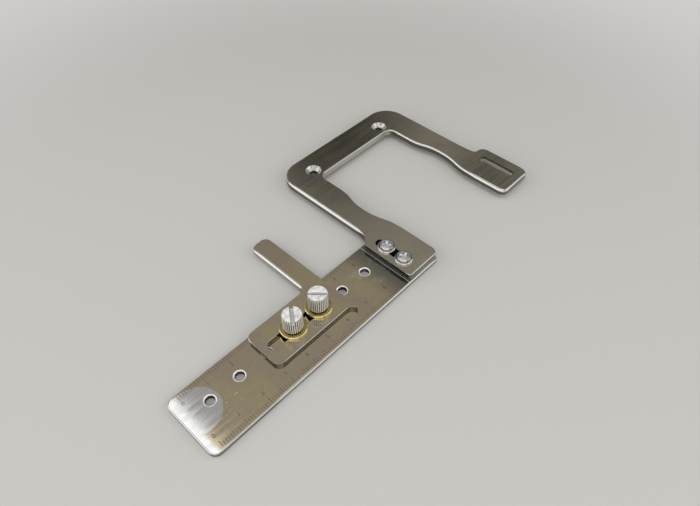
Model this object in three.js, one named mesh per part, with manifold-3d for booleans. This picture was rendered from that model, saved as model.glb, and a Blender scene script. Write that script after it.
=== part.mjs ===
// A buttonhole ruler: a graduated steel plate with an adjustable stop, hung on a C-shaped bracket.
// Millimetres, +Z up. X runs along the ruler towards the bracket, Y runs across it.
import * as THREE from "three";
import { mergeVertices } from "three/addons/utils/BufferGeometryUtils.js";
import Module from "manifold-3d";

const wasm = await Module();
wasm.setup();

// Ruler plate, with its near right corner at x = 0, y = 0 and its underside at z = 0
const RULER_LENGTH = 110.6;
const RULER_WIDTH = 26;
const RULER_THICKNESS = 2;
const RULER_CORNER = 3;
const RULER_EDGE = 0.5;

// Row of tapped holes in the ruler, counted from its near end
const HOLE_COUNT = 7;
const HOLE_PITCH = 12.3;
const FIRST_HOLE_X = 11;
const HOLE_ROW_INSET = 9.8;
const CLAMP_HOLES = [3, 4];

// Thumb screws: straight knurled head with a screwdriver slot, threaded shank
const THUMB_THREAD_D = 3.9;
const THUMB_HEAD_D = 7.4;
const THUMB_HEAD_HEIGHT = 7.3;
const THUMB_HEAD_CHAMFER = 0.7;
const KNURL_TEETH = 30;
const KNURL_DEPTH = 0.25;
const DRIVER_SLOT_WIDTH = 1.2;
const DRIVER_SLOT_DEPTH = 1.5;
const DRIVER_SLOT_ANGLES = [59, -47];

// Brass washers under the thumb screws
const WASHER_D = 10;
const WASHER_THICKNESS = 1;
const WASHER_EDGE = 0.3;

// Stop plate: a slotted body set back a little from the ruler's far edge, an arm and a pointed corner.
// It can slide by its travel, and stands at its set, measured from where its slot's start meets a screw.
const STOP_THICKNESS = 1.6;
const STOP_TRAVEL = 12.1;
const STOP_SET = 9.3;
const STOP_START_MARGIN = 2.7;
const STOP_END_MARGIN = 5.2;
const STOP_NEAR_MARGIN = 7.8;
const STOP_CORNER = 2.8;
const STOP_SET_BACK = 0.3;
const STOP_ARM_WIDTH = 8.4;
const STOP_ARM_REACH = 30.3;
const STOP_ARM_CORNER = 3;
const STOP_FILLET = 1.5;
const STOP_POINTER_DROP = 2.7;
const STOP_POINTER_RUN = 4.1;
const STOP_POINTER_TIP = 0.8;
const STOP_EDGE = 0.4;

// Bracket: two arms joined by a web, each arm ending in a pad with a slot along Y. Its slots let the
// ruler slide by their travel, and their middle stands at the slot set beyond the screws' middle.
const BRACKET_THICKNESS = 3;
const BRACKET_REACH = 79.2;
const BRACKET_SPAN = 72.6;
const BRACKET_CORNER = 10.5;
const BRACKET_EDGE = 1;
const WEB_WIDTH = 14.2;
const WEB_FILLET = 3.5;
const ARM_WIDTH = 13.1;
const WAIST_DEPTH = 2.45;
const WAIST_ABOVE_PAD = 12;
const WAIST_RUN = 16;
const PAD_FLARE = 5.6;
const PAD_FLARE_HEIGHT = 4.6;
const PAD_INNER_STEP = 0.4;
const PAD_CORNER = 3;
const PAD_SHOULDER = 4;
const PAD_TRIM = 1.7;
const PAD_SLOT_TRAVEL = 4.5;
const PAD_SLOT_SET = 0.85;
const PAD_SLOT_MARGIN = 4;
const PAD_SLOT_INSET = 1;
const SLOT_RIM = 0.3;

// Countersunk holes in the web that fasten the bracket
const WEB_HOLE_SPACING = 43.6;
const WEB_HOLE_SHIFT = -1.1;
const WEB_HOLE_EDGE = 9.8;
const WEB_HOLE_D = 3.6;
const WEB_SINK_D = 7;

// Domed cross-recess screws that hold the ruler in the bracket's pad slot
const PAD_SCREW_D = 3.5;
const PAD_SCREW_HEAD_D = 7.1;
const PAD_SCREW_HEAD_HEIGHT = 1.7;
const PAD_SCREW_RIM = 0.55;
const PAD_SCREW_SPACING = 8.7;
const PAD_SCREW_INSET = 12.5;
const PAD_SCREW_Y = 12.45;
const RECESS_SPAN = 3.8;
const RECESS_FOOT = 1.8;
const RECESS_WIDTH = 0.9;
const RECESS_DEPTH = 1.1;
const RECESS_TURNS = [12, 38];

// Fits
const RUNNING_FIT = 0.3;
const THREAD_FIT = 0.3;
const THREAD_RELIEF = 0.4;
const HOLE_RIM = 0.5;
const TIP_RECESS = 0.3;
const STEP_GAP = 0.1;

// Steps of a quarter of a curve, of a full turn and of a rounded edge, how far cutters run past
// what they cut, and the distance at which corners count as one
const CURVE_STEPS = 6;
const ROUND_STEPS = 32;
const EDGE_STEPS = 2;
const CUT = 5;
const SAME_PLACE = 1e-4;

// Places that follow from the sizes above
const holePlace = (index) => FIRST_HOLE_X + index * HOLE_PITCH;
const HOLE_ROW_Y = RULER_WIDTH - HOLE_ROW_INSET;
const RULER_TOP = RULER_THICKNESS;
const STOP_TOP = RULER_TOP + STOP_THICKNESS;
const WASHER_TOP = STOP_TOP + WASHER_THICKNESS;
const STOP_SLOT_WIDTH = THUMB_THREAD_D + RUNNING_FIT;
const STOP_SLOT_LENGTH = (CLAMP_HOLES[1] - CLAMP_HOLES[0]) * HOLE_PITCH + STOP_TRAVEL + STOP_SLOT_WIDTH;
const STOP_LENGTH = STOP_START_MARGIN + STOP_SLOT_LENGTH + STOP_END_MARGIN;
const STOP_X = holePlace(CLAMP_HOLES[0]) - STOP_SET - STOP_SLOT_WIDTH / 2 - STOP_START_MARGIN;
const BRACKET_TOP = RULER_TOP + BRACKET_THICKNESS;
const HALF_SPAN = BRACKET_SPAN / 2;
const PAD_SLOT_WIDTH = PAD_SCREW_D + RUNNING_FIT;
const PAD_SLOT_LENGTH = PAD_SCREW_SPACING + PAD_SLOT_TRAVEL + PAD_SLOT_WIDTH;
const PAD_LENGTH = PAD_SLOT_LENGTH + 2 * PAD_SLOT_MARGIN;
const PAD_SLOT_X = HALF_SPAN - PAD_SLOT_INSET;
const PAD_SCREW_X = RULER_LENGTH - PAD_SCREW_INSET;
const BRACKET_X = PAD_SCREW_X + PAD_SLOT_X;
const BRACKET_Y = PAD_SCREW_Y + PAD_SLOT_SET - PAD_LENGTH / 2;
const OVERALL_LENGTH = BRACKET_X + HALF_SPAN + PAD_FLARE;
const OVERALL_WIDTH = BRACKET_Y + BRACKET_REACH;

const steel = new THREE.MeshStandardMaterial({ color: 0xb9b2a8, roughness: 0.28, metalness: 1 });
const bracketSteel = new THREE.MeshStandardMaterial({ color: 0xa8a49d, roughness: 0.3, metalness: 1 });
const knobNickel = new THREE.MeshStandardMaterial({ color: 0xdcdcd8, roughness: 0.3, metalness: 1 });
const brass = new THREE.MeshStandardMaterial({ color: 0xc9a84a, roughness: 0.3, metalness: 1 });
const zinc = new THREE.MeshStandardMaterial({ color: 0xd2d4d6, roughness: 0.3, metalness: 1 });

// A closed geometry as a solid. Only its positions count, and triangles shut at a pole are dropped.
function solid(geometry) {
  geometry.deleteAttribute("normal");
  geometry.deleteAttribute("uv");
  const merged = mergeVertices(geometry, SAME_PLACE);
  const corners = merged.index.array;
  const kept = [];
  for (let i = 0; i < corners.length; i += 3) {
    const [a, b, c] = corners.subarray(i, i + 3);
    if (a !== b && b !== c && c !== a) kept.push(a, b, c);
  }
  const vertProperties = merged.attributes.position.array;
  const triVerts = new Uint32Array(kept);
  return new wasm.Manifold(new wasm.Mesh({ numProp: 3, vertProperties, triVerts }));
}

// A solid as a named mesh of the scene graph.
function piece(name, body, material) {
  const { vertProperties, triVerts } = body.getMesh();
  const geometry = new THREE.BufferGeometry();
  geometry.setAttribute("position", new THREE.BufferAttribute(vertProperties, 3));
  geometry.setIndex(new THREE.BufferAttribute(triVerts, 1));
  geometry.computeVertexNormals();
  const mesh = new THREE.Mesh(geometry, material);
  mesh.name = name;
  return mesh;
}

// A block from one corner to the opposite one.
function block(x0, y0, z0, x1, y1, z1) {
  const box = new THREE.BoxGeometry(x1 - x0, y1 - y0, z1 - z0);
  return solid(box.translate((x0 + x1) / 2, (y0 + y1) / 2, (z0 + z1) / 2));
}

// A body turned about +Z from a profile of [radius, height] points that starts and ends on the axis.
function turned(profile) {
  const points = profile.map(([r, z]) => new THREE.Vector2(r, z));
  return solid(new THREE.LatheGeometry(points, ROUND_STEPS).rotateX(Math.PI / 2));
}

// A plate of the given outline whose top edge is rounded by the given size in a few steps. Its
// underside has the same edge where bothSides is set, and else it is cut sharp.
function plate(outline, thickness, edge, bothSides) {
  const below = bothSides ? 0 : edge;
  const geometry = new THREE.ExtrudeGeometry(outline, {
    depth: thickness + below - 2 * edge,
    bevelThickness: edge,
    bevelSize: edge,
    bevelOffset: -edge,
    bevelSegments: EDGE_STEPS,
    curveSegments: CURVE_STEPS,
  });
  const body = solid(geometry.translate(0, 0, edge - below));
  if (bothSides) return body;
  const far = OVERALL_LENGTH + OVERALL_WIDTH;
  return body.subtract(block(-far, -far, -CUT, far, far, 0));
}

// The outline of a rounded rectangle from its lower left corner.
function roundedRectangle(length, width, corner) {
  const shape = new THREE.Shape();
  shape.moveTo(corner, 0);
  shape.lineTo(length - corner, 0);
  shape.absarc(length - corner, corner, corner, -Math.PI / 2, 0);
  shape.lineTo(length, width - corner);
  shape.absarc(length - corner, width - corner, corner, 0, Math.PI / 2);
  shape.lineTo(corner, width);
  shape.absarc(corner, width - corner, corner, Math.PI / 2, Math.PI);
  shape.lineTo(0, corner);
  shape.absarc(corner, corner, corner, Math.PI, 1.5 * Math.PI);
  return shape;
}

// A cutter for a slot with round ends along X, centred on the origin, through a plate whose top is
// at z = top. Its mouth widens by rim on each side over the last rim of its depth.
function slotCutter(length, width, top, rim) {
  const half = length / 2 - width / 2;
  const shape = new THREE.Shape();
  shape.moveTo(-half, -width / 2);
  shape.lineTo(half, -width / 2);
  shape.absarc(half, 0, width / 2, -Math.PI / 2, Math.PI / 2);
  shape.lineTo(-half, width / 2);
  shape.absarc(-half, 0, width / 2, Math.PI / 2, 1.5 * Math.PI);
  const options = { depth: top + CUT, bevelEnabled: false, curveSegments: CURVE_STEPS };
  const through = new THREE.ExtrudeGeometry(shape, options).translate(0, 0, -CUT);
  const mouth = new THREE.ExtrudeGeometry(shape, {
    ...options,
    depth: CUT,
    bevelEnabled: true,
    bevelThickness: rim,
    bevelSize: rim,
    bevelSegments: 1,
  });
  return solid(through).add(solid(mouth.translate(0, 0, top)));
}

// A cutter for a round hole through a plate, with a cone that opens it to rimD at z = top.
function holeCutter(boreD, rimD, top) {
  const bore = boreD / 2;
  const rim = rimD / 2;
  return turned([
    [0, -CUT],
    [bore, -CUT],
    [bore, top - (rim - bore)],
    [rim, top],
    [rim, top + CUT],
    [0, top + CUT],
  ]);
}

// Bore of a tapped hole and core of the thread that turns in it, for a screw of that diameter.
const tappedBore = (threadD) => threadD - THREAD_RELIEF;
const threadCore = (threadD) => tappedBore(threadD) - THREAD_FIT;

// The graduated plate: a row of tapped holes, and two more that take the bracket's screws.
function rulerPlate() {
  const outline = roundedRectangle(RULER_LENGTH, RULER_WIDTH, RULER_CORNER);
  let body = plate(outline, RULER_THICKNESS, RULER_EDGE, true);
  const bore = tappedBore(THUMB_THREAD_D);
  for (let i = 0; i < HOLE_COUNT; i++) {
    const cutter = holeCutter(bore, bore + 2 * HOLE_RIM, RULER_THICKNESS);
    body = body.subtract(cutter.translate([holePlace(i), HOLE_ROW_Y, 0]));
  }
  const screwBore = tappedBore(PAD_SCREW_D);
  for (const side of [-1, 1]) {
    const y = PAD_SCREW_Y + (side * PAD_SCREW_SPACING) / 2;
    const cutter = holeCutter(screwBore, screwBore + HOLE_RIM, RULER_THICKNESS);
    body = body.subtract(cutter.translate([PAD_SCREW_X, y, 0]));
  }
  return piece("ruler_plate", body, steel);
}

// The stop's outline, from its own near edge x = 0 and the far edge of the ruler y = 0.
function stopOutline() {
  const right = STOP_LENGTH;
  const armLeft = right - STOP_ARM_WIDTH;
  const low = -HOLE_ROW_INSET - STOP_NEAR_MARGIN;
  const far = -STOP_SET_BACK;
  const tip = low - STOP_POINTER_DROP;
  const bend = right - STOP_POINTER_RUN;
  const shape = new THREE.Shape();
  shape.moveTo(STOP_CORNER, low);
  shape.lineTo(bend, low);
  shape.quadraticCurveTo(right - STOP_POINTER_RUN / 4, low, right - STOP_POINTER_TIP, tip);
  shape.lineTo(right, tip + STOP_POINTER_TIP);
  shape.lineTo(right, STOP_ARM_REACH - STOP_ARM_CORNER);
  shape.absarc(right - STOP_ARM_CORNER, STOP_ARM_REACH - STOP_ARM_CORNER, STOP_ARM_CORNER, 0, Math.PI / 2);
  shape.absarc(
    armLeft + STOP_ARM_CORNER,
    STOP_ARM_REACH - STOP_ARM_CORNER,
    STOP_ARM_CORNER,
    Math.PI / 2,
    Math.PI,
  );
  shape.lineTo(armLeft, far + STOP_FILLET);
  shape.absarc(armLeft - STOP_FILLET, far + STOP_FILLET, STOP_FILLET, 0, -Math.PI / 2, true);
  shape.absarc(STOP_CORNER, far - STOP_CORNER, STOP_CORNER, Math.PI / 2, Math.PI);
  shape.lineTo(0, low + STOP_CORNER);
  shape.absarc(STOP_CORNER, low + STOP_CORNER, STOP_CORNER, Math.PI, 1.5 * Math.PI);
  return shape;
}

// The stop plate, slotted along X so that it slides on the two thumb screws.
function stopPlate() {
  const body = plate(stopOutline(), STOP_THICKNESS, STOP_EDGE, false);
  const cutter = slotCutter(STOP_SLOT_LENGTH, STOP_SLOT_WIDTH, STOP_THICKNESS, SLOT_RIM);
  const slotMiddle = STOP_START_MARGIN + STOP_SLOT_LENGTH / 2;
  const slotted = body.subtract(cutter.translate([slotMiddle, -HOLE_ROW_INSET, 0]));
  return piece("stop_plate", slotted, steel);
}

// The bracket's outline about its own middle line x = 0, from the ends of its pads at y = 0. It runs
// round the outside from the far pad to the near one, then back along the throat.
function bracketOutline() {
  const arm = HALF_SPAN - ARM_WIDTH;
  const padIn = arm - PAD_INNER_STEP;
  const padOut = HALF_SPAN + PAD_FLARE;
  const waist = arm + WAIST_DEPTH;
  const webIn = BRACKET_REACH - WEB_WIDTH;
  const shoulder = PAD_LENGTH - PAD_SHOULDER;
  const flareTop = PAD_LENGTH + PAD_FLARE_HEIGHT;
  const waistY = PAD_LENGTH + WAIST_ABOVE_PAD;
  const armY = waistY + WAIST_RUN;
  const padY = shoulder - PAD_CORNER;
  const lowBend = (padY + waistY) / 2;
  const highBend = (waistY + armY) / 2;
  const shape = new THREE.Shape();
  shape.moveTo(padIn + PAD_CORNER, 0);
  shape.lineTo(padOut - PAD_CORNER, 0);
  shape.absarc(padOut - PAD_CORNER, PAD_CORNER, PAD_CORNER, -Math.PI / 2, 0);
  shape.lineTo(padOut, shoulder);
  shape.quadraticCurveTo(padOut, PAD_LENGTH, padOut - PAD_SHOULDER, PAD_LENGTH);
  shape.quadraticCurveTo(HALF_SPAN, PAD_LENGTH, HALF_SPAN, flareTop);
  shape.absarc(HALF_SPAN - BRACKET_CORNER, BRACKET_REACH - BRACKET_CORNER, BRACKET_CORNER, 0, Math.PI / 2);
  shape.absarc(
    BRACKET_CORNER - HALF_SPAN,
    BRACKET_REACH - BRACKET_CORNER,
    BRACKET_CORNER,
    Math.PI / 2,
    Math.PI,
  );
  shape.lineTo(-HALF_SPAN, flareTop);
  shape.quadraticCurveTo(-HALF_SPAN, PAD_LENGTH, PAD_SHOULDER - padOut, PAD_LENGTH);
  shape.quadraticCurveTo(-padOut, PAD_LENGTH, -padOut, shoulder);
  shape.lineTo(-padOut, PAD_CORNER);
  shape.absarc(PAD_CORNER - padOut, PAD_CORNER, PAD_CORNER, Math.PI, 1.5 * Math.PI);
  shape.lineTo(-padIn - PAD_CORNER, 0);
  shape.absarc(-padIn - PAD_CORNER, PAD_CORNER, PAD_CORNER, -Math.PI / 2, 0);
  shape.lineTo(-padIn, padY);
  shape.bezierCurveTo(-padIn, lowBend, -waist, lowBend, -waist, waistY);
  shape.bezierCurveTo(-waist, highBend, -arm, highBend, -arm, armY);
  shape.lineTo(-arm, webIn - WEB_FILLET);
  shape.absarc(WEB_FILLET - arm, webIn - WEB_FILLET, WEB_FILLET, Math.PI, Math.PI / 2, true);
  shape.lineTo(arm - WEB_FILLET, webIn);
  shape.absarc(arm - WEB_FILLET, webIn - WEB_FILLET, WEB_FILLET, Math.PI / 2, 0, true);
  shape.lineTo(arm, armY);
  shape.bezierCurveTo(arm, highBend, waist, highBend, waist, waistY);
  shape.bezierCurveTo(waist, lowBend, padIn, lowBend, padIn, padY);
  shape.lineTo(padIn, PAD_CORNER);
  shape.absarc(padIn + PAD_CORNER, PAD_CORNER, PAD_CORNER, Math.PI, 1.5 * Math.PI);
  return shape;
}

// The bracket. Its near pad is trimmed square where it crosses the ruler, both pads are slotted
// along Y, and the web has two countersunk holes.
function bracket() {
  let body = plate(bracketOutline(), BRACKET_THICKNESS, BRACKET_EDGE, true);
  const trimX = PAD_TRIM - HALF_SPAN - PAD_FLARE;
  body = body.subtract(block(trimX - CUT, -CUT, -CUT, trimX, PAD_LENGTH + CUT, BRACKET_THICKNESS + CUT));
  for (const side of [-1, 1]) {
    const slot = slotCutter(PAD_SLOT_LENGTH, PAD_SLOT_WIDTH, BRACKET_THICKNESS, SLOT_RIM);
    body = body.subtract(slot.rotate([0, 0, 90]).translate([side * PAD_SLOT_X, PAD_LENGTH / 2, 0]));
    const hole = holeCutter(WEB_HOLE_D, WEB_SINK_D, BRACKET_THICKNESS);
    const x = WEB_HOLE_SHIFT + (side * WEB_HOLE_SPACING) / 2;
    body = body.subtract(hole.translate([x, BRACKET_REACH - WEB_HOLE_EDGE, 0]));
  }
  return piece("bracket", body, bracketSteel);
}

// A straight knurled cylinder: an outline of small teeth, extruded.
function knurled(diameter, height) {
  const shape = new THREE.Shape();
  for (let i = 0; i < 2 * KNURL_TEETH; i++) {
    const radius = diameter / 2 - (i % 2) * KNURL_DEPTH;
    const angle = (i * Math.PI) / KNURL_TEETH;
    const x = radius * Math.cos(angle);
    const y = radius * Math.sin(angle);
    if (i) shape.lineTo(x, y);
    else shape.moveTo(x, y);
  }
  return solid(new THREE.ExtrudeGeometry(shape, { depth: height, bevelEnabled: false }));
}

// A thumb screw with the underside of its head at z = 0: knurled head with chamfered rims, a slot
// across its top at the given angle, a shank through washer and stop, and a core in the tapped hole.
function thumbScrew(name, slotAngle) {
  const head = THUMB_HEAD_D / 2;
  const top = THUMB_HEAD_HEIGHT;
  const envelope = turned([
    [0, 0],
    [head - THUMB_HEAD_CHAMFER / 2, 0],
    [head, THUMB_HEAD_CHAMFER / 2],
    [head, top - THUMB_HEAD_CHAMFER],
    [head - THUMB_HEAD_CHAMFER, top],
    [0, top],
  ]);
  const slot = block(
    -THUMB_HEAD_D,
    -DRIVER_SLOT_WIDTH / 2,
    top - DRIVER_SLOT_DEPTH,
    THUMB_HEAD_D,
    DRIVER_SLOT_WIDTH / 2,
    top + CUT,
  );
  const knob = knurled(THUMB_HEAD_D, top).intersect(envelope).subtract(slot.rotate([0, 0, slotAngle]));
  const step = RULER_TOP + STEP_GAP - WASHER_TOP;
  const shank = THUMB_THREAD_D / 2;
  const core = threadCore(THUMB_THREAD_D) / 2;
  const stem = turned([
    [0, TIP_RECESS - WASHER_TOP],
    [core, TIP_RECESS - WASHER_TOP],
    [core, step],
    [shank, step],
    [shank, DRIVER_SLOT_DEPTH],
    [0, DRIVER_SLOT_DEPTH],
  ]);
  return piece(name, knob.add(stem), knobNickel);
}

// A flat washer with its underside at z = 0 and softened outer edges.
function washer(name) {
  const inner = (THUMB_THREAD_D + RUNNING_FIT) / 2;
  const outer = WASHER_D / 2;
  return piece(
    name,
    turned([
      [inner, 0],
      [outer - WASHER_EDGE, 0],
      [outer, WASHER_EDGE],
      [outer, WASHER_THICKNESS - WASHER_EDGE],
      [outer - WASHER_EDGE, WASHER_THICKNESS],
      [inner, WASHER_THICKNESS],
      [inner, 0],
    ]),
    brass,
  );
}

// One wing of a cross recess: a blade that narrows downwards, with its mouth at the top of the head.
function recessWing() {
  const top = PAD_SCREW_HEAD_HEIGHT;
  const corners = [
    [-RECESS_FOOT / 2, top - RECESS_DEPTH],
    [RECESS_FOOT / 2, top - RECESS_DEPTH],
    [RECESS_SPAN / 2, top],
    [RECESS_SPAN / 2, top + CUT],
    [-RECESS_SPAN / 2, top + CUT],
    [-RECESS_SPAN / 2, top],
  ];
  const shape = new THREE.Shape(corners.map(([x, z]) => new THREE.Vector2(x, z)));
  const blade = new THREE.ExtrudeGeometry(shape, { depth: RECESS_WIDTH, bevelEnabled: false });
  return solid(blade.translate(0, 0, -RECESS_WIDTH / 2).rotateX(Math.PI / 2));
}

// A pan head screw with the underside of its head at z = 0 and a tapered cross recess.
function padScrew(name, recessTurn) {
  const head = PAD_SCREW_HEAD_D / 2;
  const dome = PAD_SCREW_HEAD_HEIGHT - PAD_SCREW_RIM;
  const profile = [
    [0, TIP_RECESS - BRACKET_TOP],
    [threadCore(PAD_SCREW_D) / 2, TIP_RECESS - BRACKET_TOP],
    [threadCore(PAD_SCREW_D) / 2, RULER_TOP + STEP_GAP - BRACKET_TOP],
    [PAD_SCREW_D / 2, RULER_TOP + STEP_GAP - BRACKET_TOP],
    [PAD_SCREW_D / 2, 0],
    [head, 0],
  ];
  for (let i = 0; i <= CURVE_STEPS; i++) {
    const angle = ((i / CURVE_STEPS) * Math.PI) / 2;
    profile.push([head * Math.cos(angle), PAD_SCREW_RIM + dome * Math.sin(angle)]);
  }
  profile[profile.length - 1][0] = 0;
  let body = turned(profile);
  for (const turn of [recessTurn, recessTurn + 90]) body = body.subtract(recessWing().rotate([0, 0, turn]));
  return piece(name, body, zinc);
}

const assembly = new THREE.Group();
assembly.position.set(-OVERALL_LENGTH / 2, -OVERALL_WIDTH / 2, 0);
assembly.add(rulerPlate());

const stop = stopPlate();
stop.position.set(STOP_X, RULER_WIDTH, RULER_TOP);
assembly.add(stop);

const frame = bracket();
frame.position.set(BRACKET_X, BRACKET_Y, RULER_TOP);
assembly.add(frame);

["near", "far"].forEach((place, i) => {
  const clampWasher = washer("washer_" + place);
  clampWasher.position.set(holePlace(CLAMP_HOLES[i]), HOLE_ROW_Y, STOP_TOP);
  const clampScrew = thumbScrew("thumb_screw_" + place, DRIVER_SLOT_ANGLES[i]);
  clampScrew.position.set(holePlace(CLAMP_HOLES[i]), HOLE_ROW_Y, WASHER_TOP);
  assembly.add(clampWasher, clampScrew);
});

["right", "left"].forEach((side, i) => {
  const screw = padScrew("bracket_screw_" + side, RECESS_TURNS[i]);
  screw.position.set(PAD_SCREW_X, PAD_SCREW_Y + (i - 0.5) * PAD_SCREW_SPACING, BRACKET_TOP);
  assembly.add(screw);
});

const group = new THREE.Group();
group.add(assembly);
export default group;
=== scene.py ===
import bmesh
import bpy
import numpy as np
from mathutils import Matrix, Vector


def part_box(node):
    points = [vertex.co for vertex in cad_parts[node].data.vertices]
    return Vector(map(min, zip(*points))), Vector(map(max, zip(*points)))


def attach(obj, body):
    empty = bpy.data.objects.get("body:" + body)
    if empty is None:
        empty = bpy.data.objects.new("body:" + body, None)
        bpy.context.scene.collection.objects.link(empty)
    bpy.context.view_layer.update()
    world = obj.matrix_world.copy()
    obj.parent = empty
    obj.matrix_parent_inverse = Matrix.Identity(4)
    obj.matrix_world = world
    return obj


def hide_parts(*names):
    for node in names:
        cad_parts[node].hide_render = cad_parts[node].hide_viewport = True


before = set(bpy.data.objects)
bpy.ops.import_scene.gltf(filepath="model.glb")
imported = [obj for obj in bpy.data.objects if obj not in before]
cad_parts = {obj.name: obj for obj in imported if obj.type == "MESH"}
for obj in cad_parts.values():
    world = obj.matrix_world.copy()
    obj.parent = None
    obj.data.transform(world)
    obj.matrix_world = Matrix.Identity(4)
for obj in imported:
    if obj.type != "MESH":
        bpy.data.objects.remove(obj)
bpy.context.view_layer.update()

# A buttonhole ruler: a graduated steel plate with a sliding stop, hung on a C-shaped bracket.
# Lengths are in metres, and MM turns a size in millimetres into metres.
MM = 0.001

# Fineness of the meshes: steps along a straight line, round an arc, up a rounded edge and round a
# hole, and how close two points are one
LINE_STEP = 1.0 * MM
ARC_STEP_DEGREES = 5
LEAST_ARC_POINTS = 3
LEAST_BEND_POINTS = 8
BEND_POINTS_PER_STEP = 1.5
EDGE_STEPS = 7
QUARTER_TURN = np.radians(np.linspace(0, 90, EDGE_STEPS + 1))
WALL_MARGIN = 0.04 * MM
ROUND_STEPS = 72
STEPS_PER_TURN = 10
CLEAR = 1.0 * MM
WELD_REACH = 0.001 * MM
SAME_POINT = 0.01 * MM
EASING_ROUNDS = 4
HEAD_STEPS = 40
DOME_END_DEGREES = 88
ALMOST_NOTHING = 1e-9

# Shading: how sharp an edge stays a crease, and how level a face is flat
CREASE_DEGREES = 40
KNURL_CREASE_DEGREES = 32
LEVEL_FACE = 0.9999

# Ruler plate
RULER_CORNER = 3 * MM
RULER_EDGE = 0.5 * MM
RULER_WORN_EDGE = 0.85 * MM
RULER_WORN_FROM = 26 * MM
RULER_UNDER_SHARE = 0.8
HOLE_COUNT = 7
HOLE_PITCH = 12.3 * MM
FIRST_HOLE_X = 11 * MM
HOLE_ROW_INSET = 9.8 * MM
THREAD_PITCH = 0.7 * MM
HOLE_CREST_R = 1.7 * MM
HOLE_GROOVE_R = 1.92 * MM
HOLE_RIM_R = 2.0 * MM
HOLE_RING_R = 2.3 * MM
HOLE_RING_SLOPE = 0.5
SCREW_HOLE_R = 1.58 * MM
SCREW_HOLE_RIM_R = 1.8 * MM

# Scales, cut a little way into the ruler's face
SCALE_START = 4.4 * MM
SCALE_LENGTH_MM = 100
TICK_WIDTH = 0.18 * MM
TICK_LENGTHS = {10: 2.5 * MM, 5: 2.0 * MM, 1: 1.5 * MM}
TICK_INSETS = {"near": 0.95 * MM, "far": 0.6 * MM}
NUMERAL_INSETS = {"near": 5.7 * MM, "far": 4.4 * MM}
NUMERAL_SIZE = 2.2 * MM
ENGRAVED_DEPTH = 0.05 * MM
# A thin bright line across the ruler's face, beside the bracket's pad
BRIGHT_LINE_X = 92.85 * MM
BRIGHT_LINE_WIDTH = 0.16 * MM

# Stop plate
STOP_START_MARGIN = 2.7 * MM
STOP_SLOT_LENGTH = 28.6 * MM
STOP_SLOT_WIDTH = 4.2 * MM
STOP_CORNER = 2.8 * MM
STOP_SET_BACK = 0.3 * MM
STOP_ARM_WIDTH = 8.4 * MM
STOP_ARM_CORNER = 3 * MM
STOP_FILLET = 1.5 * MM
STOP_POINTER_DROP = 2.7 * MM
STOP_POINTER_RUN = 4.1 * MM
STOP_POINTER_TIP = 0.6 * MM
STOP_UNDER_SHARE = 0.3

# Bracket
BRACKET_SPAN = 72.6 * MM
BRACKET_CORNER = 10.5 * MM
WEB_WIDTH = 14.2 * MM
WEB_FILLET = 3.5 * MM
ARM_WIDTH = 13.1 * MM
WAIST_DEPTH = 2.45 * MM
WAIST_ABOVE_PAD = 12 * MM
WAIST_RUN = 16 * MM
PAD_LENGTH = 25 * MM
PAD_FLARE = 5.6 * MM
PAD_FLARE_HEIGHT = 4.6 * MM
PAD_INNER_STEP = 0.4 * MM
PAD_CORNER = 3 * MM
PAD_SHOULDER = 4 * MM
PAD_TRIM = 1.7 * MM
PAD_TRIM_CORNER = 1.3 * MM
PAD_TRIM_SHOULDER = 2.1 * MM
PAD_SLOT_WIDTH = 3.8 * MM
PAD_SLOT_LENGTH = 17 * MM
PAD_SLOT_INSET = 1 * MM
WEB_HOLE_SPACING = 43.6 * MM
WEB_HOLE_SHIFT = -1.1 * MM
WEB_HOLE_EDGE = 9.8 * MM
WEB_HOLE_R = 1.8 * MM
WEB_SINK_R = 3.5 * MM
SINK_SLOPE = 1.0
BRACKET_UNDER_SHARE = 0.45

# How far a mouth's cone runs into its bore, a slot's rim, and the play under washers and heads
MOUTH_OVERLAP = 0.1 * MM
SLOT_RIM = 0.15 * MM
SEAT_GAP = 0.01 * MM

# Rounded edges of the plates, from nearly sharp to tumbled
SHARP = 0.03 * MM
KEEN = 0.25 * MM
EASED = 0.5 * MM
SOFT = 0.8 * MM
STROKED = 1.1 * MM
TUMBLED = 1.2 * MM

# Thumb screws
KNOB_R = 3.7 * MM
KNOB_FOOT_R = 3.25 * MM
KNOB_FOOT_HEIGHT = 0.45 * MM
KNOB_CHAMFER = 0.25 * MM
KNOB_LOWER_CHAMFER = 0.3 * MM
KNURL_TEETH = 30
KNURL_DEPTH = 0.34 * MM
KNURL_STEPS = 8
DRIVER_SLOT_WIDTH = 1.15 * MM
DRIVER_SLOT_DEPTH = 1.5 * MM
DRIVER_SLOT_RIM = 0.12 * MM
DRIVER_SLOT_ANGLES = {"near": 53, "far": -47}
SHANK_R = 1.95 * MM
SHANK_TIP_R = 1.6 * MM
SHANK_GROOVE = 0.22 * MM
SHANK_END_CHAMFER = 0.4 * MM
SHANK_STEP = 0.1 * MM

# Washers
WASHER_BORE_R = 2.1 * MM
WASHER_EDGE = 0.3 * MM

# Bracket screws
PAD_HEAD_RIM = 0.3 * MM
PAD_SHANK_R = 1.75 * MM
PAD_SHANK_TIP_R = 1.4 * MM
PAD_SHANK_CHAMFER = 0.3 * MM
PAD_HEAD_TUCK = 0.05 * MM
RECESS_DEPTH = 1.1 * MM
RECESS_REACH = 1.95 * MM
RECESS_FOOT_REACH = 0.9 * MM
RECESS_WIDTH = 0.95 * MM
RECESS_FOOT_WIDTH = 0.6 * MM
RECESS_TURNS = {"right": 12, "left": 38}

# Camera: its place, the way it looks, and its focal length in pixels of the 700 x 506 frame
CAMERA_PLACE = (-0.11112, -0.11825, 0.17494)
CAMERA_FORWARD = (0.4826, 0.4549, -0.7484)
FOCAL_PIXELS = 587.82
FRAME_WIDTH_PIXELS = 700
SENSOR_WIDTH_MM = 36
NEAREST_SEEN = 0.01


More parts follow.
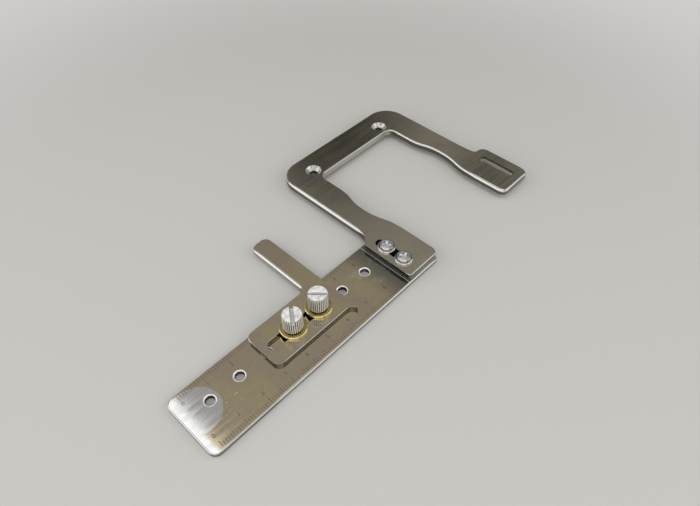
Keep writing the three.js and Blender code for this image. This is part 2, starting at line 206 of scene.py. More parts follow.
# Outlines. Each is a run of points (x, y, edge), where edge is the size of the rounded edge there.
def line(start, end, edge):
    """Points about a line step apart from start to end."""
    count = max(2, int(np.hypot(end[0] - start[0], end[1] - start[1]) / LINE_STEP) + 1)
    share = np.linspace(0, 1, count)[:, None]
    points = (1 - share) * np.array(start) + share * np.array(end)
    return np.column_stack((points, np.full(count, edge)))


def arc(x, y, radius, start, end, edge):
    """Points (x + r cos a, y + r sin a), with a in even steps between two angles in degrees."""
    count = max(LEAST_ARC_POINTS, int(abs(end - start) / ARC_STEP_DEGREES) + 1)
    a = np.radians(np.linspace(start, end, count))
    points = (x + radius * np.cos(a), y + radius * np.sin(a))
    return np.column_stack((*points, np.full(count, edge)))


def bend(corners, edge):
    """A curve towards its inner corners: neighbours are mixed by 1 - t and t until one is left."""
    reach = np.hypot(corners[-1][0] - corners[0][0], corners[-1][1] - corners[0][1])
    count = max(LEAST_BEND_POINTS, int(BEND_POINTS_PER_STEP * reach / LINE_STEP))
    t = np.linspace(0, 1, count)[:, None]
    points = [np.array(corner) for corner in corners]
    while len(points) > 1:
        points = [(1 - t) * a + t * b for a, b in zip(points, points[1:])]
    return np.column_stack((points[0], np.full(len(t), edge)))


def sway(start, end, edge):
    """A bend that leaves its start and comes to its end along Y, pulled halfway between them."""
    pull = (start[1] + end[1]) / 2
    return bend([start, (start[0], pull), (end[0], pull), end], edge)


def joined(*runs):
    """Runs of points as one closed outline, no point twice, with the edge sizes eased together."""
    points = np.concatenate(runs)
    gap = np.hypot(*(points[:, :2] - np.roll(points[:, :2], 1, axis=0)).T)
    points = points[gap > SAME_POINT]
    edge = points[:, 2]
    for _ in range(EASING_ROUNDS):
        edge = (np.roll(edge, 1) + 2 * edge + np.roll(edge, -1)) / 4
    return np.column_stack((points[:, :2], edge))


def outward(outline):
    """Unit normals of an outline that runs anticlockwise: its tangent (x, y) turned to (y, -x)."""
    tangent = np.roll(outline[:, :2], -1, axis=0) - np.roll(outline[:, :2], 1, axis=0)
    tangent /= np.hypot(*tangent.T)[:, None]
    return np.column_stack((tangent[:, 1], -tangent[:, 0]))


# Skins. Each is a stack of closed rings, shaped (rings, points, 3), and makes one closed surface.
def plate_skin(outline, low, high, under_share):
    """A plate: its outline carried up a section of a quarter turn, a wall and a quarter turn.

    At angle a on a quarter turn of size e, the skin stands in from the outline by e (1 - cos a) and
    in from the face by e (1 - sin a). The lower turn has a share of the upper one's size. A ring
    close to each turn keeps the wall between them flat.
    """
    a = QUARTER_TURN[:, None]
    top = outline[:, 2]
    under = top * under_share
    wall = np.array([low + under + WALL_MARGIN, high - top - WALL_MARGIN])
    lower, upper = under * (1 - np.sin(a[::-1])), top * (1 - np.sin(a))
    inset = np.concatenate((under * (1 - np.cos(a[::-1])), 0 * wall, top * (1 - np.cos(a))))
    height = np.concatenate((low + lower, wall, high - upper))
    spot = outline[:, :2] - inset[..., None] * outward(outline)
    return np.concatenate((spot, height[..., None]), axis=2)


def slot_skin(x, y, length, width, low, high, along_y):
    """The space of a slot with round ends, whose mouths open by a quarter turn of a rim's size."""
    half, radius = (length - width) / 2, width / 2
    ends = joined(arc(half, 0, radius, -90, 90, 0), arc(-half, 0, radius, 90, 270, 0))
    rim, lift = SLOT_RIM * (1 - np.cos(QUARTER_TURN)), SLOT_RIM * (1 - np.sin(QUARTER_TURN))
    spread = np.concatenate(([SLOT_RIM], rim[::-1], rim, [SLOT_RIM]))
    height = np.concatenate(([low - CLEAR], low + lift[::-1], high - lift, [high + CLEAR]))
    spot = ends[:, :2] + spread[:, None, None] * outward(ends)
    if along_y:
        spot = np.stack((-spot[..., 1], spot[..., 0]), axis=2)
    heights = np.broadcast_to(height[:, None, None], (*spot.shape[:2], 1))
    return np.concatenate((spot + (x, y), heights), axis=2)


def turned_skin(x, y, height, radius):
    """A turned surface: the point at angle a and height z lies at (x + r cos a, y + r sin a, z).

    Radius is one number for each height, or a grid of heights by angles.
    """
    grid = np.asarray(radius, float)
    if grid.ndim == 1:
        grid = np.broadcast_to(grid[:, None], (len(grid), ROUND_STEPS))
    a = np.linspace(0, 2 * np.pi, grid.shape[1], endpoint=False)
    heights = np.broadcast_to(np.asarray(height, float)[:, None], grid.shape)
    return np.stack((x + grid * np.cos(a), y + grid * np.sin(a), heights), axis=2)


def thread_wave(height, columns):
    """0 on a thread's crest and 1 in its groove.

    It is a triangle wave of height / pitch - angle / full turn.
    """
    turn = np.linspace(0, 1, columns, endpoint=False)
    phase = (np.asarray(height)[:, None] / THREAD_PITCH - turn) % 1
    return 1 - np.abs(2 * phase - 1)


def tapped_hole_skin(x, y, low, high, crest, groove, rim):
    """The space of a tapped hole: its thread, or the 45 degree cones of its mouths, if wider."""
    steps = int(np.ceil((high - low) / THREAD_PITCH * STEPS_PER_TURN))
    height = np.concatenate(([low - CLEAR], np.linspace(low, high, steps + 1), [high + CLEAR]))
    thread = crest + (groove - crest) * thread_wave(height, ROUND_STEPS)
    into = np.minimum(high - height, height - low)
    cone = rim - np.maximum(into, 0)
    return turned_skin(x, y, height, np.maximum(thread, cone[:, None]))


def sunk_hole_skin(x, y, low, high, bore, rim):
    """The space of a countersunk hole: a bore, and a 45 degree cone that opens it to the rim."""
    height = [low - CLEAR, high - (rim - bore), high, high + CLEAR]
    return turned_skin(x, y, height, [bore, bore, rim, rim])


def mouth_skin(x, y, high, foot, rim, slope):
    """The space of a hole's mouth: a cone from rim to foot that falls by slope times the way in."""
    height = [high - slope * (rim - foot), high, high + CLEAR]
    return turned_skin(x, y, height, [foot, rim, rim])


def driver_slot_skin(x, y, angle, floor, top):
    """The space of a screwdriver slot: a section with chamfered lips, carried across the head."""
    half, lip = DRIVER_SLOT_WIDTH / 2, DRIVER_SLOT_WIDTH / 2 + DRIVER_SLOT_RIM
    rising = [(half, floor), (half, top - DRIVER_SLOT_RIM), (lip, top), (lip, top + CLEAR)]
    section = np.array([(-half, floor), *rising, *[(-side, z) for side, z in rising[:0:-1]]])
    a = np.radians(angle)
    run = np.array([-2 * KNOB_R, 2 * KNOB_R])[:, None]
    across = section[:, 0][None, :]
    heights = np.broadcast_to(section[:, 1], (2, len(section)))
    return np.stack((
        x + run * np.cos(a) - across * np.sin(a),
        y + run * np.sin(a) + across * np.cos(a),
        heights,
    ), axis=2)


def cross_recess_skin(x, y, turn, floor, top):
    """The space of a cross recess that widens upwards.

    A bar of half length s and half width w reaches min(s / |cos a|, w / |sin a|) at angle a. The
    recess reaches as far as the longer of two bars a quarter turn apart.
    """
    share = np.array([0, 1, 2])[:, None]
    height = [floor, top, top + (top - floor)]
    reach = RECESS_FOOT_REACH + (RECESS_REACH - RECESS_FOOT_REACH) * share
    width = (RECESS_FOOT_WIDTH + (RECESS_WIDTH - RECESS_FOOT_WIDTH) * share) / 2
    a = np.linspace(0, 2 * np.pi, 4 * ROUND_STEPS, endpoint=False) - np.radians(turn)
    cos, sin = np.abs(np.cos(a)) + ALMOST_NOTHING, np.abs(np.sin(a)) + ALMOST_NOTHING
    bars = np.minimum(reach / cos, width / sin), np.minimum(reach / sin, width / cos)
    return turned_skin(x, y, height, np.maximum(*bars))


def box_skin(x0, x1, y0, y1, low, high):
    """A square-cornered block as two rings."""
    ring = np.array([(x0, y0), (x1, y0), (x1, y1), (x0, y1)])
    heights = np.array([low, high])[:, None, None]
    spots = np.broadcast_to(ring, (2, 4, 2))
    return np.concatenate((spots, np.broadcast_to(heights, (2, 4, 1))), axis=2)


# Meshes
def skin_faces(rings, count, first, wrapped):
    """Quads between neighbouring rings, and a flat face at each end of an unwrapped stack."""
    row = np.arange(rings if wrapped else rings - 1)[:, None]
    column = np.arange(count)[None, :]
    beside = (column + 1) % count
    row, above = row * count, (row + 1) % rings * count
    corners = (row + column, row + beside, above + beside, above + column)
    quads = (first + np.stack(corners, axis=2).reshape(-1, 4)).tolist()
    if wrapped:
        return quads
    bottom = (first + np.arange(count)[::-1]).tolist()
    top = (first + (rings - 1) * count + np.arange(count)).tolist()
    return quads + [bottom, top]


def new_mesh(name, points, faces):
    """A mesh of the given points and faces."""
    mesh = bpy.data.meshes.new(name)
    mesh.from_pydata(points.tolist(), [], faces)
    mesh.update()
    return mesh


def mesh_of(name, skins, wrapped=False):
    """One mesh made of closed skins that don't touch."""
    points, faces, first = [], [], 0
    for skin in skins:
        rings, count = skin.shape[:2]
        points.append(skin.reshape(-1, 3))
        faces += skin_faces(rings, count, first, wrapped)
        first += rings * count
    return new_mesh(name, np.concatenate(points), faces)


def placed(name, data):
    """A mesh, a text, a lamp or a lens as an object of the scene, at the origin."""
    made = bpy.data.objects.new(name, data)
    bpy.context.scene.collection.objects.link(made)
    return made


def shown(name, mesh, material):
    """The mesh as a piece of the scene, with its material."""
    mesh.materials.append(material)
    return placed(name, mesh)


def cut(piece, mesh, material=None):
    """Takes a mesh's space out of the piece. Cut faces take the material, if one is given."""
    cutter = placed("cutter", mesh)
    if material:
        mesh.materials.append(material)
    difference = piece.modifiers.new("cut", "BOOLEAN")
    difference.object = cutter
    difference.operation = "DIFFERENCE"
    difference.solver = "EXACT"
    difference.material_mode = "TRANSFER" if material else "INDEX"
    whole = bpy.context.evaluated_depsgraph_get()
    whole.update()
    result = bpy.data.meshes.new_from_object(piece.evaluated_get(whole), depsgraph=whole)
    piece.modifiers.clear()
    piece.data = result
    bpy.data.objects.remove(cutter)


def weld(mesh):
    """Makes points one that lie closer than the weld's reach, so that no hairline seam is open."""
    shell = bmesh.new()
    shell.from_mesh(mesh)
    bmesh.ops.remove_doubles(shell, verts=shell.verts, dist=WELD_REACH)
    bmesh.ops.dissolve_degenerate(shell, edges=shell.edges, dist=WELD_REACH)
    shell.to_mesh(mesh)
    shell.free()


def values_of(items, name, kind, width=1):
    """A named value of each item, as an array with a row for each."""
    values = np.empty((len(items), width), kind)
    items.foreach_get(name, values.ravel())
    return values


def crisp(piece, crease_degrees=CREASE_DEGREES):
    """Shades a piece smooth but for its creases and its level faces, which stay flat."""
    mesh = piece.data
    weld(mesh)
    mesh.shade_smooth()
    mesh.set_sharp_from_angle(angle=np.radians(crease_degrees))
    level = np.abs(values_of(mesh.polygons, "normal", np.float32, 3)[:, 2]) > LEVEL_FACE
    weights = np.repeat(level, values_of(mesh.polygons, "loop_total", np.int32)[:, 0])
    edges = values_of(mesh.loops, "edge_index", np.int32)[:, 0]
    level_sides = np.bincount(edges, weights=weights, minlength=len(mesh.edges))
    sharp = values_of(mesh.edges, "use_edge_sharp", bool)[:, 0]
    mesh.edges.foreach_set("use_edge_sharp", sharp | (level_sides == 1))
    return piece


def stands_for(piece, node, body):
    """The piece takes the place of a CAD node and rides on its body."""
    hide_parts(node)
    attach(piece, body)


# Finishes: colours first, of which a pair is a light one and a dark one
RULER_TONES = ((0.61, 0.53, 0.34, 1), (0.56, 0.48, 0.36, 1), (0.54, 0.455, 0.38, 1))
BRACKET_TONES = ((0.58, 0.54, 0.42, 1), (0.53, 0.49, 0.40, 1), (0.50, 0.465, 0.42, 1))
SPECKLE_TONE = (0.70, 0.64, 0.52, 1)
POLISHED_TONE = (0.86, 0.85, 0.82, 1)
# Paler patches of the ruler; the strip along its near end is a painted reflection
PALE_PATCH_TONE = (0.69, 0.70, 0.70, 1)
# Painted shade on walls that face along X and along Y
END_WALL_SHADE = (0.15, 0.145, 0.13, 1)
SIDE_WALL_SHADE = (0.24, 0.23, 0.21, 1)
# Painted highlight on the bracket's walls near the web's inner edge
WEB_WALL_HIGHLIGHT_TONE = (0.62, 0.61, 0.57, 1)
# Roundings that face along X and along Y: partly polish, partly painted highlight
END_EDGE_POLISH_AND_HIGHLIGHT = (0.69, 0.68, 0.66, 1)
SIDE_EDGE_POLISH_AND_HIGHLIGHT = (0.50, 0.50, 0.48, 1)
# Painted shade on the ruler beside the bracket's pad
PAD_SHADE_TONE = (0.24, 0.23, 0.21, 1)
# Painted shade in the knurl's grooves, and a painted dark reflection on the bracket screws' heads
PAINTED_SHADE_TONE = (0.045, 0.042, 0.038, 1)
SOOT_TONE = (0.11, 0.095, 0.08, 1)
RUST_TONE = (0.25, 0.13, 0.07, 1)
FADED_TONE = (0.36, 0.31, 0.25, 1)
# Driver slots: painted shade on near walls and far floor, painted light on far walls and near floor
LIT_SLOT = ((0.98, 0.98, 0.97, 1), (0.86, 0.86, 0.85, 1))
SHADED_SLOT = ((0.15, 0.15, 0.14, 1), (0.07, 0.07, 0.065, 1))
SLOT_WALLS = {"near": SHADED_SLOT, "far": LIT_SLOT}
SLOT_FLOORS = {"near": LIT_SLOT[0], "far": (0.45, 0.45, 0.44, 1)}
SLOT_FLOOR_REACH = 0.25 * MM
ZINC_TONES = ((0.70, 0.70, 0.71, 1), (0.42, 0.42, 0.43, 1))

# The far pad's slot has painted light below this height over the bracket's underside
FAR_SLOT_LIT_BELOW = 1.6 * MM
FAR_SLOT_LIT_TONE = (0.80, 0.79, 0.73, 1)

# Roughness and mattness, from 0 to 1, and how much of a metal the dye is
RULER_SATIN = 0.09
STOP_SATIN = 0.12
BRACKET_SATIN = 0.15
MARK_MATTNESS = 0.55
WALL_ROUGHNESS = 0.24
EDGE_ROUGHNESS = 0.13
SLOT_ROUGHNESS = 0.4
SLOT_MATTNESS = 0.7
DYE_METAL = 0.4

# How far up a surface faces: where walls turn into roundings, roundings into level faces, and the
# side of a turned piece into its cap
WALL_RANGE = (0.04, 0.16)
LEVEL_RANGE = (0.93, 0.995)
CAP_RANGE = (0.75, 0.95)

# Patterns in the sheet steel. A cloud has its fineness, and a streak is drawn out along its grain.
CLOUD = {"scale": 75, "detail": 5, "roughness": 0.55, "distortion": 0.6}
SECOND_CLOUD = {"scale": 130, "detail": 5, "roughness": 0.6}
SPECKLE = {"scale": 900, "detail": 4, "roughness": 0.7}
PATCHES = {"scale": 260, "detail": 2}
SWELL = {"scale": 45, "detail": 2}
GRAIN_STRETCH = (90, 4200, 90)
HAZE_STRETCH = (40, 700, 40)
SCRATCH_STRETCH = (260, 4600, 260)
SCRATCH_TURNS = (32, -18, 71)
CUTTER_RINGS = 700
SWELL_DEPTH = 0.05 * MM
GRAIN_DEPTH = 0.004 * MM
PALE_PATCH_RAGGEDNESS = 1.0 * MM

# Patterns in the turned and the tooled metal
FILM = {"scale": 420, "detail": 4, "roughness": 0.6}
FINE_SPECK = {"scale": 2400, "detail": 2}
SMEAR_SCALE = 700
LATHE_RINGS = 1200
TOOL_STRETCH = (300, 300, 5200)
TOOL_DEPTH = 0.006 * MM

# Light and dark colour, roughness and mattness of the metal inside holes and slots
# A painted highlight round the mouths of the ruler's tapped holes
RIM_HIGHLIGHT_TONES = ((0.96, 0.95, 0.93, 1), (0.80, 0.79, 0.77, 1), 0.3, 0.6)
SUNK_STEEL = ((0.72, 0.71, 0.68, 1), (0.36, 0.35, 0.33, 1), 0.26, 0.12)
# Painted shade in the bores and in the near pad's slot
BORE_SHADE_TONES = ((0.17, 0.165, 0.15, 1), (0.06, 0.058, 0.055, 1), 0.25, 0.1)
# Painted shade on the far pad slot's walls
FAR_SLOT_SHADE_TONES = ((0.15, 0.145, 0.13, 1), (0.09, 0.088, 0.08, 1), 0.3, 0.4)
# In the cross recesses: partly brighter struck metal, partly a painted highlight
RECESS_HIGHLIGHT_TONES = ((0.95, 0.95, 0.95, 1), (0.66, 0.66, 0.67, 1), 0.25, 0.3)

# Finishes of the turned pieces
NICKEL = {
    "face": ((1.0, 1.0, 0.99, 1), (0.34, 0.34, 0.33, 1)),
    "side": ((0.93, 0.93, 0.93, 1), (0.55, 0.55, 0.56, 1)),
    "satin": (0.45, 0.22),
    "frost": (0.92, 0.42),
    "ring_depth": 0.02 * MM,
    # painted shade in the knurl's grooves and below them
    "groove_shade": (KNOB_R - 0.26 * MM, KNOB_R - 0.08 * MM),
}
BRASS = {
    # The face is darker than the side: a painted dark reflection
    "face": ((0.50, 0.42, 0.16, 1), (0.26, 0.22, 0.09, 1)),
    "side": ((0.98, 0.87, 0.50, 1), (0.76, 0.63, 0.28, 1)),
    "satin": (0.2, 0.12),
    "ring_depth": 0.01 * MM,
}
ZINC = {
    "face": ZINC_TONES,
    "side": ZINC_TONES,
    "satin": (0.2, 0.2),
    "ring_depth": 0.02 * MM,
    # a painted dark reflection round the head
    "dark_ring": (2.8 * MM, 3.3 * MM),
}

# Marks on the ruler, from its near left corner: the reach of the cutter's marks round the last
# hole, then scratches with their reach and share, paler patches, and the reach of painted shade by
# the pad
CUTTER_REACH = 11 * MM
SCUFFS = [
    (14 * MM, 9 * MM, 11 * MM, 0.045),
    (84 * MM, 15 * MM, 14 * MM, 0.055),
    (55 * MM, 13 * MM, 45 * MM, 0.0),
]
PALE_PATCH_PLACES = [
    # A paler disc near the first hole
    (5.5 * MM, 16.5 * MM, (1, 1, 0), 9.0 * MM, 0.5 * MM),
    # A strip along the near end: a painted reflection
    (0, 0, (1, 0, 0), 2.4 * MM, 1.8 * MM),
]
PAD_SHADE_REACH = 14 * MM

# How far from the web's inner edge the bracket's walls that face along Y get a painted highlight
WEB_WALL_HIGHLIGHT_REACH = 6 * MM


# Materials
class Recipe:
    """The node tree of a material or of the sky, put together node by node."""

    def __init__(self, owner, surface):
        owner.use_nodes = True
        self.owner = owner
        self.tree = owner.node_tree
        self.surface = self.tree.nodes[surface]
        self.spaces = self.add("TexCoord").outputs

    def add(self, kind, inputs=(), **settings):
        """A new node with its settings, and with each input linked or given its value."""
        node = self.tree.nodes.new("ShaderNode" + kind)
        for key, value in settings.items():
            setattr(node, key, value)
        for key, value in dict(inputs).items():
            self.put(node.inputs[key], value)
        return node

    def put(self, socket, value):
        """Links a socket to another node's output, or sets its value."""
        if isinstance(value, bpy.types.NodeSocket):
            self.tree.links.new(value, socket)
        else:
            socket.default_value = value

    def give(self, name, value):
        """Links or sets what the surface calls by that name."""
        self.put(self.surface.inputs[name], value)

    def mapped(self, centre=(0, 0, 0), turn=(0, 0, 0), scale=(1, 1, 1)):
        """Places on the piece, moved, turned by degrees about the axes, then scaled."""
        place, back = self.spaces["Object"], [-c for c in centre]
        moved = self.add("Mapping", {"Vector": place, "Location": back}).outputs[0]
        angles = np.radians(turn).tolist()
        return self.add("Mapping", {"Vector": moved, "Rotation": angles, "Scale": scale}).outputs[0]

    def noise(self, vector, scale, detail=3.0, roughness=0.5, distortion=0.0):
        """A cloudy value from 0 to 1."""
        return self.add("TexNoise", {
            "Vector": vector, "Scale": scale, "Detail": detail,
            "Roughness": roughness, "Distortion": distortion,
        }).outputs[0]

    def rings(self, vector, scale, distortion):
        """Waves that run in rings round the upright axis."""
        return self.add("TexWave", {
            "Vector": vector, "Scale": scale, "Distortion": distortion, "Detail": 2,
        }, wave_type="RINGS", rings_direction="Z").outputs[1]

    def remap(self, value, low, high, to_low=0.0, to_high=1.0):
        """The value's range from low to high, eased onto another range."""
        return self.add("MapRange", {
            "Value": value, "From Min": low, "From Max": high, "To Min": to_low, "To Max": to_high,
        }, interpolation_type="SMOOTHSTEP").outputs[0]

    def math(self, operation, first, second=0.0):
        """Two values joined by plain arithmetic."""
        return self.add("Math", {0: first, 1: second}, operation=operation).outputs[0]

    def plus(self, first, second):
        """Two values added."""
        return self.math("ADD", first, second)

    def times(self, first, second):
        """Two values multiplied."""
        return self.math("MULTIPLY", first, second)

    def mix(self, share, first, second):
        """The first colour turning into the second as the share goes from 0 to 1."""
        return self.add("Mix", {0: share, 6: first, 7: second}, data_type="RGBA").outputs[2]

    def bump(self, height, depth, strength=1.0, under=None):
        """A surface normal from a height of 0 to 1 that stands for the given depth in metres."""
        inputs = {"Height": height, "Distance": depth, "Strength": strength}
        if under is not None:
            inputs["Normal"] = under
        return self.add("Bump", inputs).outputs[0]


def bare_metal(name):
    """The recipe of a new material that is all metal, to which a finish is given."""
    recipe = Recipe(bpy.data.materials.new(name), "Principled BSDF")
    recipe.give("Metallic", 1)
    return recipe


def facing_up(recipe):
    """0 on walls and 1 on level faces, with the roundings in between."""
    normal = recipe.add("SeparateXYZ", {0: recipe.spaces["Normal"]}).outputs
    return recipe.math("ABSOLUTE", normal["Z"])


def facing_along_y(recipe):
    """0 on walls and roundings that face along X, and 1 on those that face along Y."""
    normal = recipe.add("SeparateXYZ", {0: recipe.spaces["Normal"]}).outputs
    x, y = (recipe.math("ABSOLUTE", normal[axis]) for axis in ("X", "Y"))
    whole = recipe.plus(recipe.plus(x, y), 0.01)
    return recipe.remap(recipe.math("DIVIDE", recipe.math("SUBTRACT", y, x), whole), -0.4, 0.4)


def distance_from(recipe, x, y, squash=(1, 1, 0)):
    """How far a place on the piece is from an upright axis."""
    spot = recipe.mapped(centre=(x, y, 0), scale=squash)
    return recipe.add("VectorMath", {0: spot}, operation="LENGTH").outputs["Value"]


def scratches(recipe, grain_turn, share):
    """Fine bright scratches in a few directions, each one a thin slice of a stretched cloud."""
    marks = 0.0
    for turn in SCRATCH_TURNS:
        spot = recipe.mapped(turn=(0, 0, grain_turn + turn), scale=SCRATCH_STRETCH)
        slices = recipe.remap(recipe.noise(spot, 1, detail=1), 0.80 - share, 0.86 - share)
        marks = recipe.math("MAXIMUM", marks, slices)
    return marks


def sheet_steel(
    name, tones, grain_turn, satin,
    rings=(), scuffs=(), pale_patches=(), pad_shade=None, bright_line=None, web_wall_highlight=None,
):
    """Polished sheet steel: cloudy faces, painted highlight on roundings, painted shade on walls.

    Tones are the cloud's three colours and satin is its roughness. Rings are places round which a
    cutter left its marks, and scuffs are places of scratches, each with its reach and share. Pale
    patches are paler places, each within a distance of a point, or of a line where the squash
    leaves an axis out. Pad shade is a value of x and a reach, within which painted shade darkens
    the steel. Bright line is the value of x of a thin bright line. Web wall highlight is a value
    of y and a reach, within which walls facing along Y get a painted highlight.
    """
    recipe = bare_metal(name)
    up = facing_up(recipe)
    level = recipe.remap(up, *LEVEL_RANGE)
    rounding = recipe.remap(up, *WALL_RANGE)

    cloud = recipe.noise(recipe.mapped(), **CLOUD)
    second_place = recipe.mapped(turn=(0, 0, 40), centre=(0.3, 0.1, 0))
    second_cloud = recipe.noise(second_place, **SECOND_CLOUD)
    speckle = recipe.noise(recipe.mapped(), **SPECKLE)
    grain = recipe.noise(recipe.mapped(turn=(0, 0, grain_turn), scale=GRAIN_STRETCH), 1)
    haze = recipe.noise(recipe.mapped(turn=(0, 0, grain_turn), scale=HAZE_STRETCH), 1)

    colour = recipe.mix(recipe.remap(cloud, 0.40, 0.60), tones[0], tones[1])
    colour = recipe.mix(recipe.remap(second_cloud, 0.50, 0.72, 0, 0.8), colour, tones[2])
    # Paler patches of colour; the ruler's strip along its near end is a painted reflection
    for x, y, squash, reach, fade in pale_patches:
        away, ragged = distance_from(recipe, x, y, squash), recipe.times(cloud, PALE_PATCH_RAGGEDNESS)
        blotch = recipe.remap(recipe.plus(away, ragged), reach + fade, reach)
        colour = recipe.mix(blotch, colour, PALE_PATCH_TONE)
    colour = recipe.mix(recipe.remap(speckle, 0.45, 0.75, 0, 0.22), colour, SPECKLE_TONE)
    rough = recipe.remap(haze, 0.3, 0.7, satin - 0.02, satin + 0.04)
    height = recipe.plus(recipe.times(grain, 0.18), recipe.times(haze, 0.12))
    # Painted shade darkens the steel within reach of a line across it, beside the bracket's pad
    if pad_shade:
        x, reach = pad_shade
        near = recipe.remap(distance_from(recipe, x, 0, (1, 0, 0)), reach, 0)
        colour = recipe.mix(near, colour, PAD_SHADE_TONE)

    worn = 0.0
    if bright_line:
        away = distance_from(recipe, bright_line, 0, (1, 0, 0))
        worn = recipe.remap(away, BRIGHT_LINE_WIDTH, BRIGHT_LINE_WIDTH / 4)
    for x, y, reach, share in scuffs:
        near = recipe.remap(distance_from(recipe, x, y), reach, 0.4 * reach)
        marks = recipe.times(scratches(recipe, grain_turn, share), near)
        worn = recipe.math("MAXIMUM", worn, marks)
    for x, y, reach in rings:
        wave = recipe.rings(recipe.mapped(centre=(x, y, 0)), CUTTER_RINGS, 1.2)
        near = recipe.remap(distance_from(recipe, x, y), reach, 0.5 * reach)
        patches = recipe.noise(recipe.mapped(centre=(0.1, 0.2, 0)), **PATCHES)
        near_patch = recipe.times(near, recipe.remap(patches, 0.45, 0.6))
        marks = recipe.times(recipe.remap(wave, 0.84, 0.99, 0, 0.55), near_patch)
        worn = recipe.math("MAXIMUM", worn, marks)
        height = recipe.plus(height, recipe.times(recipe.times(wave, near), 0.4))
    if bright_line or scuffs or rings:
        colour = recipe.mix(worn, colour, POLISHED_TONE)
        rough = recipe.plus(rough, recipe.times(worn, 0.25))
        matt = recipe.times(recipe.times(worn, level), MARK_MATTNESS)
        recipe.give("Metallic", recipe.math("SUBTRACT", 1.0, matt))

    # Painted shade on walls and partly painted highlight on roundings, by which way they face
    sides = facing_along_y(recipe)
    wall = recipe.mix(sides, END_WALL_SHADE, SIDE_WALL_SHADE)
    # Painted highlight on walls that face along Y near the web's inner edge
    if web_wall_highlight:
        y, reach = web_wall_highlight
        near = recipe.remap(distance_from(recipe, 0, y, (0, 1, 0)), reach, 0.6 * reach)
        wall = recipe.mix(recipe.times(near, sides), wall, WEB_WALL_HIGHLIGHT_TONE)
    edge = recipe.mix(rounding, wall, recipe.mix(sides, END_EDGE_POLISH_AND_HIGHLIGHT, SIDE_EDGE_POLISH_AND_HIGHLIGHT))
    recipe.give("Base Color", recipe.mix(level, edge, colour))
    edge_rough = recipe.remap(up, *WALL_RANGE, WALL_ROUGHNESS, EDGE_ROUGHNESS)
    edge_rough = recipe.times(edge_rough, recipe.math("SUBTRACT", 1.0, level))
    recipe.give("Roughness", recipe.plus(recipe.times(rough, level), edge_rough))
    swell = recipe.bump(recipe.noise(recipe.mapped(), **SWELL), SWELL_DEPTH, 0.3)
    recipe.give("Normal", recipe.bump(height, GRAIN_DEPTH, level, swell))
    return recipe.owner


def turned_metal(
    name, centre, face, side, satin, ring_depth,
    frost=(0, 0), groove_shade=None, dark_ring=None,
):
    """Plated metal off a lathe: fine rings round its axis, and a dull film in cloudy patches.

    Face and side are each a light and a dark colour. Satin and frost are pairs too, for face and
    side: how rough they are, and how matt, from 0 to 1. Groove shade is the two radii between which
    painted shade fades out, and dark ring is two radii between which a dark reflection is painted.
    """
    recipe = bare_metal(name)
    spot = recipe.mapped(centre=centre)
    up = recipe.remap(facing_up(recipe), *CAP_RANGE)
    blotch = recipe.noise(spot, **FILM)
    speck = recipe.noise(spot, **FINE_SPECK)
    rings = recipe.rings(spot, LATHE_RINGS, 1.5)
    dulled = recipe.remap(blotch, 0.4, 0.7, 0, 0.6)
    dulled = recipe.plus(dulled, recipe.remap(speck, 0.55, 0.8, 0, 0.4))
    colour = recipe.mix(up, recipe.mix(dulled, *side), recipe.mix(dulled, *face))
    # Painted shade on the sides within the groove shade's radii: the knurl's grooves, foot and
    # shank
    if groove_shade:
        painted_shade = recipe.remap(distance_from(recipe, *centre[:2]), groove_shade[1], groove_shade[0])
        painted_shade = recipe.times(painted_shade, recipe.math("SUBTRACT", 1.0, up))
        colour = recipe.mix(painted_shade, colour, PAINTED_SHADE_TONE)
    # A painted dark reflection in a ring round the axis
    if dark_ring:
        inner, outer = dark_ring
        away = distance_from(recipe, *centre[:2])
        begins = recipe.remap(away, inner - 0.3 * MM, inner)
        ends = recipe.remap(away, outer + 0.1 * MM, outer - 0.1 * MM)
        colour = recipe.mix(recipe.times(recipe.times(begins, ends), 0.8), colour, PAINTED_SHADE_TONE)
    recipe.give("Base Color", colour)
    if any(frost):
        recipe.give("Metallic", recipe.remap(up, 0, 1, 1 - frost[1], 1 - frost[0]))
    rough = recipe.remap(up, 0, 1, satin[1], satin[0])
    recipe.give("Roughness", recipe.plus(rough, recipe.remap(blotch, 0.3, 0.7, 0, 0.08)))
    height = recipe.plus(recipe.times(rings, 0.7), recipe.times(speck, 0.3))
    recipe.give("Normal", recipe.bump(height, ring_depth, up))
    return recipe.owner


def tooled_metal(name, light, dark, satin, frost, painted_below=None):
    """Metal inside holes and slots: marks from the tool that run round them, in cloudy patches.

    Frost is how matt it is. Painted below is a height, and a colour below it: painted light in
    some slots, painted shade in others.
    """
    recipe = bare_metal(name)
    tool_marks = recipe.noise(recipe.mapped(scale=TOOL_STRETCH), 1, detail=2)
    smear = recipe.noise(recipe.mapped(), SMEAR_SCALE)
    colour = recipe.mix(recipe.remap(smear, 0.4, 0.65), light, dark)
    # Painted light and shade: another colour below a height
    if painted_below:
        top, tone = painted_below
        height = recipe.add("SeparateXYZ", {0: recipe.spaces["Object"]}).outputs["Z"]
        colour = recipe.mix(recipe.remap(height, top + 0.2 * MM, top - 0.2 * MM), colour, tone)
    recipe.give("Base Color", colour)
    recipe.give("Metallic", 1 - frost)
    recipe.give("Roughness", recipe.remap(smear, 0.3, 0.7, satin, satin + 0.12))
    recipe.give("Normal", recipe.bump(tool_marks, TOOL_DEPTH, 0.6))
    return recipe.owner


